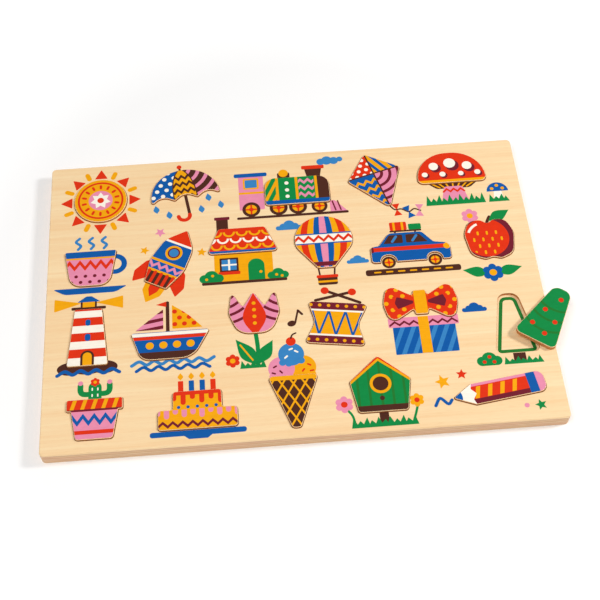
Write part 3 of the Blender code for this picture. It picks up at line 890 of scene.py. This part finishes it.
# The tree, at the right side: its piece is taken out and lies across the edge of the board beside the
# empty recess, so its plywood layers start higher. The trunk, a bush and a cloud are on the board, and
# the tree is drawn in line on the recess floor.
TREE_LIES = -36
TREE_SPOT = (190, -56)
LINE_OUTSIDE = 2.2
LINE_INSIDE = 5.4
LEAF_GREEN = screen_ink("leaf_green_screen_ink", "#1c7228")
tree_leaves = [
    (LEAF_GREEN, [o for y in (12, 0, -12) for o in ring(0, y + 20, 26, 2.2, 220, 100)]),
    (RED, scatter(disc(0, 0, 2.3), [(3, 19), (-5, 3), (8, -5), (-9, -15), (5, -20)])),
]
tree_foot = [
    (BROWN, block(0, -35.0, 11, 13, 0.8)),
    (GREEN, bush(-27, -41.6, 6.6) + grass(-12, -41.6, 7, 5.0, 7.5)),
    (RED, scatter(disc(0, 0, 1.7), [(-31.6, -37.8), (-26.6, -33), (-23.0, -38.2)])),
    (BLUE, cloud(-32, 14, 4.8)),
]
tree_recess, tree_home = print_motif("tree", 0, GREEN, tree_leaves, tree_foot, TREE_LIES, TREE_SPOT)
loose_low, loose_high = (corner.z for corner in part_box("tree_piece"))
dress("tree_piece", birch_plywood("birch_plywood_loose_piece", PIECE_LAYERS, loose_low, loose_high))


def inset(outline, distance):
    """An outline moved inwards, each point along the middle of its corner."""
    outline = outline if area_of(outline) > 0 else outline[::-1]
    moved = []
    for before, point, after in zip(outline[-1:] + outline, outline, outline[1:] + outline[:1]):
        arriving = (point - before).normalized()
        middle = (arriving + (after - point).normalized()).normalized()
        moved.append(point + Vector((-middle.y, middle.x)) * distance / middle.dot(arriving))
    return moved


print_film("tree_recess_print", "board",
           [(LEAF_GREEN, [inset(tree_recess, LINE_OUTSIDE)])], tree_home, 0.0, RECESS_FLOOR,
           inside=[tree_recess], outside=[inset(tree_recess, LINE_INSIDE)])

# The flower pot, in the near left corner: the piece is the pot with its rim, and the cactus with its
# flower is on the board.
pot_clay = [
    (BLUE, line(zigzag(-24, 24, -0.6, 7.0, 9.6), 2.8)),
    (RED, block(0, -12.4, 60, 3.6)),
    (RED, block(0, 13.8, 60, 13)),
    (YELLOW, [o for x in range(-27, 30, 9) for o in line([(x - 2.5, 6), (x + 2.5, 22)], 3.2)],
     block(0, 13.8, 60, 9.0)),
    (WINE, block(0, 8.4, 60, 1.8)),
]
cactus_arm = line(curve([(3, 24.4), (8.6, 24.4), (11.4, 25.6), (12.6, 28.4), (12.6, 33)], 3), 5.0)
pot_cactus = [
    (GREEN, cactus_arm + mirrored(cactus_arm) + line([(0, 18), (0, 30.4)], 11.4)),
    (CREAM, scatter(line([(0, -0.9), (0, 0.9)], 1.2), [(-2.4, 23), (2.4, 23), (-2.4, 29), (2.4, 29)])),
    *flower(0, 35.8, 4.2, RED, YELLOW),
    (PINK, disc(-12.6, 35.4, 2.2) + disc(12.6, 35.4, 2.2)),
]
print_motif("pot", 0, PINK, pot_clay, pot_cactus)

# The cake, near side left: the piece is its two tiers under running icing, and the candles and the plate
# are on the board.


def icing(half, y, drips):
    """Icing over the top of a tier, running down in drips of several lengths."""
    pitch = 2 * half / (len(drips) - 1)
    poured = block(0, y + 5, 2 * half + 8, 10)
    for k, run in enumerate(drips):
        x = -half + k * pitch
        poured += line([(x, y + 4), (x, y - run)], 4.4)
    return poured


candle = block(0, 23.2, 4.6, 11, 0.6)
cake_tiers = [
    (WINE, line(zigzag(-34, 34, -13.2, 4.0, 8.5), 2.2)),
    (PINK, icing(34, 0.4, (3, 6, 2, 5, 3, 6, 2, 5, 3, 6)), block(0, -9.5, 80, 19.4)),
    (YELLOW, block(0, 9.6, 42.4, 18.8)),
    (RED, icing(20, 14.0, (3, 7, 2, 6, 3, 7))),
    (BLUE, scatter(disc(0, 0, 1.5), [(x, 2.6) for x in (-16, -8, 0, 8, 16)])),
]
cake_stand = [
    (RED, scatter(candle, [(-14, 0), (14, 0)])),
    (BLUE, scatter(candle, [(-4.7, 0), (4.7, 0)])),
    (YELLOW, scatter(leaf(7.2, 4.8), [(x, 29.4) for x in (-14, -4.7, 4.7, 14)])),
    (BLUE, block(0, -21.2, 82, 5.0, 2.2) + patch([(-14, -22), (14, -22), (8, -26.8), (-8, -26.8)], 0.5)),
]
print_motif("cake", 0, YELLOW, cake_tiers, cake_stand)

# The ice cream, near side middle: the piece is its waffle cone, and the scoops with the sprinkles and
# the cherry are on the board.


def sprinkles(spots):
    """Short grains of sugar, each at a spot with a turn."""
    return scatter(line([(-1.3, 0), (1.3, 0)], 1.6), spots)


cone_waffle = [
    (YELLOW, [o for x in range(-60, 62, 10) for o in line([(x - 16, -26), (x + 16, 26)], 1.6)]),
    (YELLOW, [o for x in range(-60, 62, 10) for o in line([(x + 16, -26), (x - 16, 26)], 1.6)]),
    (YELLOW, block(0, 22.4, 60, 4.2)),
]
cone_ice = [
    (YELLOW, disc(9.4, 33, 11.6)),
    (PINK, disc(-9.4, 33, 11.6)),
    (PINK, scatter(disc(0, 0, 3.4), [(-17, 25.6), (-11, 24.6), (-5, 25.6)])),
    (YELLOW, scatter(disc(0, 0, 3.4), [(17, 25.6), (11, 24.6), (4.6, 25.6)])),
    (SKY, disc(0, 46.4, 11.4)),
    (SKY, scatter(disc(0, 0, 3.2), [(-8, 38.6), (-2.6, 37.4), (3, 38.6), (8.4, 39.6)])),
    (WINE, sprinkles([(-15, 35, 30), (-10, 29.6, -50), (-16.4, 28.6, -20)])),
    (RED, sprinkles([(15, 35, -30), (9.6, 30, 50), (17, 29, 10)])),
    (CREAM, sprinkles([(-4.6, 44, 40), (4.6, 49, -30), (0, 51.6, 20)])),
    (RED, disc(0.6, 59.4, 4.4)),
    (BROWN, line(curve([(0.8, 62.6), (2.4, 66), (5.6, 67.6)]), 1.5)),
]
print_motif("cone", 0, BROWN, cone_waffle, cone_ice)

# The bird house, near side right of the middle: the piece is the box with its roof, and the pole, the
# flowers and the grass are on the board.
eaves = [(-34, -4.6), (0, 23.6), (34, -4.6)]
birdhouse_box = [
    (LEAF_GREEN, [o for x in range(-20, 24, 10) for o in line([(x, -28), (x, 24)], 2.2)]),
    (RED, line([(-34, 1.4), (0, 29.6), (34, 1.4)], 10.4)),
    (YELLOW, line(eaves, 2.0)),
    (YELLOW, disc(0, 0, 9.4)),
    (BROWN, disc(0, 0, 6.8)),
    (BROWN, disc(0, -14.0, 2.2)),
    (BROWN, block(0, -23.6, 60, 6.2)),
]
birdhouse_pole = [
    (BROWN, block(0, -32.6, 8.0, 14.2, 0.5)),
    (GREEN, grass(-26, -40, 11, 5.2, 9.5)),
    (GREEN, line(curve([(-25, -38), (-27, -28), (-32, -21)]), 2.1)),
    *flower(-33, -17, 8.0, PINK, RED),
    (GREEN, line(curve([(24, -38), (27, -30), (29, -24)]), 2.1)),
    *flower(29.4, -17.4, 6.4, YELLOW, RED),
]
print_motif("birdhouse", 0, GREEN, birdhouse_box, birdhouse_pole)

# The pencil, in the near right corner and tilted: the piece is the pencil, its point to the left, and
# the line that it draws, three stars and a dot are on the board.
pencil_body = [
    (WINE, block(0, -8.4, 90, 6.8)),
    (PINK, block(0, 8.8, 90, 3.4)),
    (YELLOW, [o for x in range(-20, 24, 11) for o in line([(x - 4, -12), (x + 4, 12)], 3.6)],
     block(0, 0.8, 90, 11)),
    (CREAM, patch([(-50, 0), (-22, 14), (-25, 5), (-21, 0), (-25, -5), (-22, -14)], 0.8)),
    (BLUE, disc(-43, 0, 9.4)),
    (BLUE, block(29, 0, 8, 30)),
    (PINK, block(39, 0, 12, 30)),
]
scribble = curve([(-43, -0.6), (-47, -3.6), (-52.5, 3.0), (-58, -3.0)])
pencil_drawing = [
    (BLUE, line(scribble, 2.8)),
    (YELLOW, at(star(7.0), -46, 18, 8)),
    (RED, at(star(5.2), -28, 21.5, -14)),
    (GREEN, at(star(5.4), 30, -21.5, 6)),
    (PINK, disc(18, -19.5, 2.2)),
]
print_motif("pencil", 8, RED, pencil_body, pencil_drawing)

# The camera stands where the picture was taken from, a little over a metre away and well above the
# board. Its place, look and up come from a fit to the board's corners.
CAMERA_PLACE = (-0.02879, -0.55756, 0.88656)
CAMERA_LOOK = (0.03225, 0.52646, -0.84958)
CAMERA_UP = (0.07059, 0.84670, 0.52736)
FOCAL_PIXELS = 1136.5
PICTURE_PIXELS = 600
NEAREST_SEEN = 0.05

camera = bpy.data.objects.new("camera", bpy.data.cameras.new("camera"))
bpy.context.scene.collection.objects.link(camera)
look = Vector(CAMERA_LOOK)
up = Vector(CAMERA_UP)
camera.matrix_world = Matrix((look.cross(up), up, -look)).transposed().to_4x4()
camera.location = CAMERA_PLACE
camera.data.lens = camera.data.sensor_width * FOCAL_PIXELS / PICTURE_PIXELS
camera.data.clip_start = NEAREST_SEEN
bpy.context.scene.camera = camera

# The lamps and the room: a small lamp on the right that draws the shadow at the board's left, a broad
# one above the camera, and a pale room all round, which is seen as pure white.
SIDE_LAMP_PLACE = (1.10, 0.05, 1.00)
SIDE_LAMP_SIZE = 0.25
SIDE_LAMP_POWER = 10.2
FRONT_LAMP_PLACE = (-0.45, -0.35, 1.35)
FRONT_LAMP_SIZE = 0.90
FRONT_LAMP_POWER = 10.0
ROOM_LIGHT = 0.30
WHITE = (1.0, 1.0, 1.0, 1.0)


def area_lamp(name, place, size, power):
    """A square lamp that points at the board's middle."""
    lamp = bpy.data.objects.new(name, bpy.data.lights.new(name, "AREA"))
    bpy.context.scene.collection.objects.link(lamp)
    lamp.location = place
    lamp.rotation_euler = (-Vector(place)).to_track_quat("-Z", "Y").to_euler()
    lamp.data.size = size
    lamp.data.energy = power


def looking_ray(tree):
    """One for the rays that look at the background: straight, mirrored or through glass."""
    path = add(tree, "ShaderNodeLightPath")
    looking = path.outputs["Is Camera Ray"]
    for kind in ("Is Glossy Ray", "Is Transmission Ray"):
        looking = add(tree, "ShaderNodeMath", {
            0: looking, 1: path.outputs[kind]}, operation="MAXIMUM").outputs[0]
    return looking


area_lamp("side_lamp", SIDE_LAMP_PLACE, SIDE_LAMP_SIZE, SIDE_LAMP_POWER)
area_lamp("front_lamp", FRONT_LAMP_PLACE, FRONT_LAMP_SIZE, FRONT_LAMP_POWER)

world = bpy.data.worlds.new("bright_room")
bpy.context.scene.world = world
world.use_nodes = True
sky = world.node_tree
room = sky.nodes["Background"]
room.inputs["Color"].default_value = WHITE
room.inputs["Strength"].default_value = ROOM_LIGHT
white = add(sky, "ShaderNodeBackground", {"Color": WHITE, "Strength": 1.0})
shown = add(sky, "ShaderNodeMixShader", {0: looking_ray(sky)})
sky.links.new(room.outputs[0], shown.inputs[1])
sky.links.new(white.outputs[0], shown.inputs[2])
sky.links.new(shown.outputs[0], sky.nodes["World Output"].inputs["Surface"])

# The floor is a sweep of matt white paper, which goes on to pure white away from the board and keeps the
# board's shadow. The glow is seen and mirrored at full strength, and lights the board less.
FLOOR_HALF = 6.0
FLOOR_DROP = 0.0002
GLOW_STARTS = 0.28
GLOW_ENDS = 0.88
GLOW_AT_BOARD = 0.14
GLOW_LIGHT = 0.22

floor_mesh = bmesh.new()
bmesh.ops.create_grid(floor_mesh, x_segments=1, y_segments=1, size=FLOOR_HALF)
floor_data = bpy.data.meshes.new("floor")
floor_mesh.to_mesh(floor_data)
floor_mesh.free()
floor = bpy.data.objects.new("floor", floor_data)
bpy.context.scene.collection.objects.link(floor)
floor.location.z = -FLOOR_DROP
sweep, tree, shader = new_material("white_paper_sweep")
shader.inputs["Base Color"].default_value = linear("#f4f3f2")
shader.inputs["Roughness"].default_value = 0.9
shader.inputs["Specular IOR Level"].default_value = 0.1
spread = add(tree, "ShaderNodeVectorMath", {0: add(tree, "ShaderNodeTexCoord").outputs["Object"]},
             operation="LENGTH")
glow = add(tree, "ShaderNodeMapRange", {
    "Value": spread.outputs["Value"], "From Min": GLOW_STARTS, "From Max": GLOW_ENDS,
    "To Min": GLOW_AT_BOARD, "To Max": 1.0})
strength = add(tree, "ShaderNodeMapRange", {
    "Value": looking_ray(tree), "To Min": GLOW_LIGHT, "To Max": glow.outputs[0]})
lift = add(tree, "ShaderNodeEmission", {"Color": WHITE, "Strength": strength.outputs[0]})
both = add(tree, "ShaderNodeAddShader", {0: shader.outputs[0], 1: lift.outputs[0]})
tree.links.new(both.outputs[0], tree.nodes["Material Output"].inputs["Surface"])
floor_data.materials.append(sweep)

bpy.context.scene.view_settings.view_transform = "Standard"
